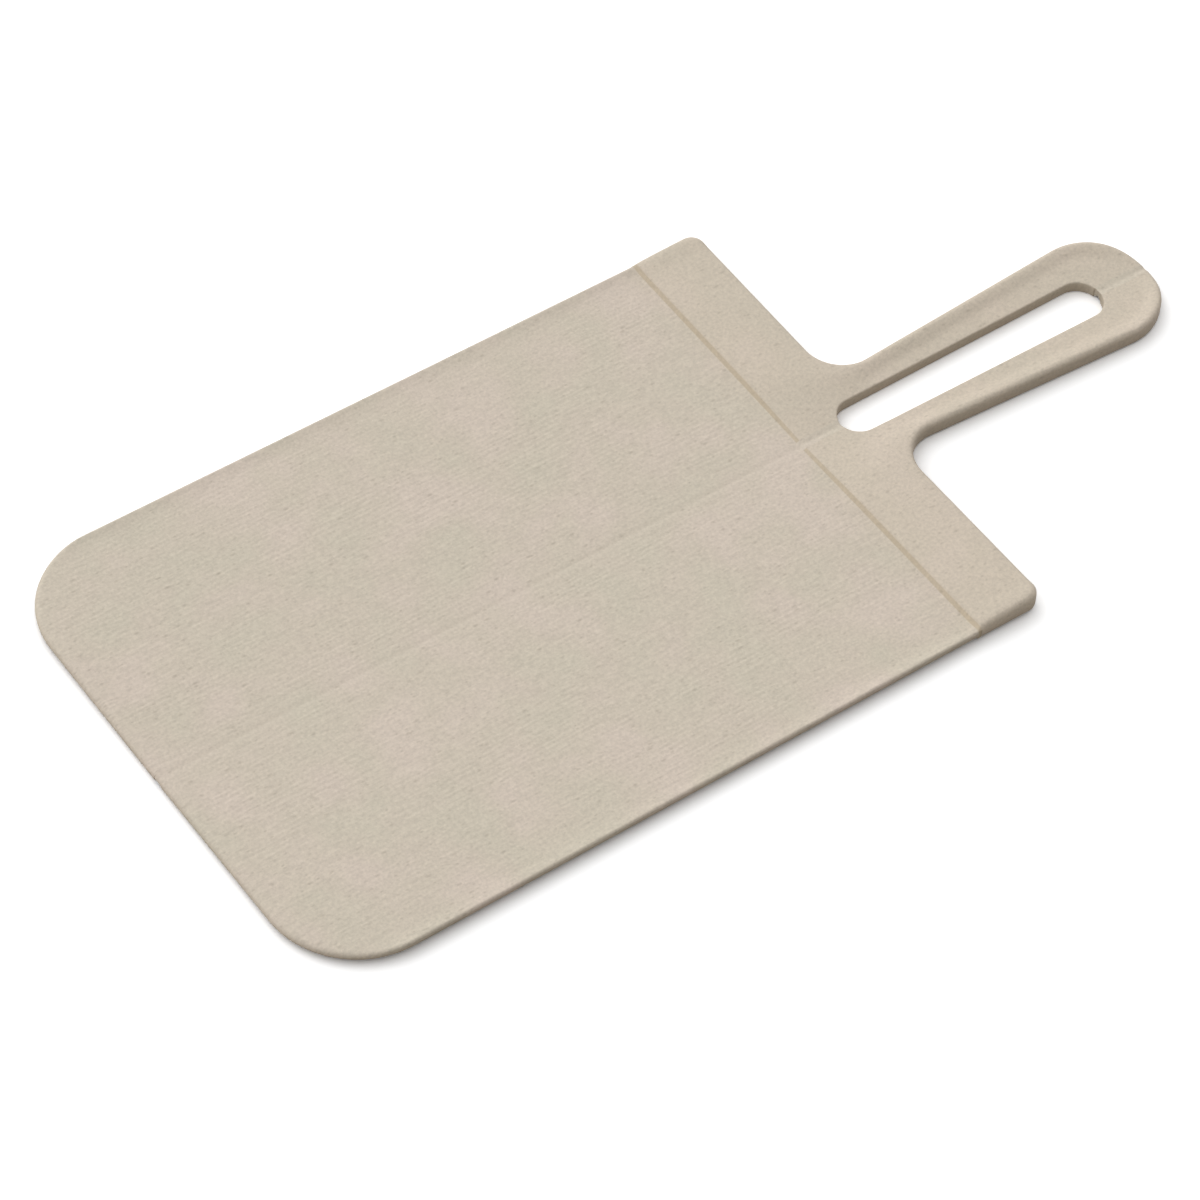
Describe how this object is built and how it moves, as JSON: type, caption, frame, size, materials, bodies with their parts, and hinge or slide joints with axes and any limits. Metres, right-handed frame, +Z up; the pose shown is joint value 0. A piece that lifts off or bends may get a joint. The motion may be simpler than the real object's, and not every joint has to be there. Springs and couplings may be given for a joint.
{
  "type": "folding cutting board",
  "caption": "Folding cutting board with a loop handle; squeezing the handle folds the panels up along the centre crease to make a pouring chute.",
  "frame": {"origin": "on the table, under the middle of the board's whole outline", "axes": "+X along the crease from the board's near end to the handle's tip, +Y towards the left long edge, +Z up from the table"},
  "size_m": [0.4726, 0.225, 0.0093],
  "materials": {
    "board_plastic": "matte, finely ridged, speckled sand plastic",
    "handle_plastic": "matte, smooth, speckled sand plastic",
    "hinge_plastic": "matte, smooth sand plastic"
  },
  "bodies": {
    "spine": {"centre_hinge_film": "hinge_plastic", "tip_hinge_film": "hinge_plastic"},
    "left_half": {"left_board_panel": "board_plastic", "left_handle_half": "handle_plastic", "left_cross_web": "hinge_plastic"},
    "right_half": {"right_board_panel": "board_plastic", "right_handle_half": "handle_plastic", "right_cross_web": "hinge_plastic"}
  },
  "joints": [
    {"name": "left_fold", "type": "hinge", "parent": "spine", "child": "left_half", "pos_m": [0, 0, 0.00418], "axis": [1, 0, 0], "range_deg": [-0.6, 45], "stiffness_Nm_per_rad": 2, "springref_deg": 3.44, "deforming": ["centre_hinge_film", "tip_hinge_film"]},
    {"name": "right_fold", "type": "hinge", "parent": "spine", "child": "right_half", "pos_m": [0, 0, 0.00418], "axis": [-1, 0, 0], "range_deg": [-0.6, 45], "stiffness_Nm_per_rad": 2, "springref_deg": 3.44, "deforming": ["centre_hinge_film", "tip_hinge_film"]}
  ],
  "couplings": [
    {"joint": "right_fold", "follows": "left_fold", "ratio": 1}
  ]
}
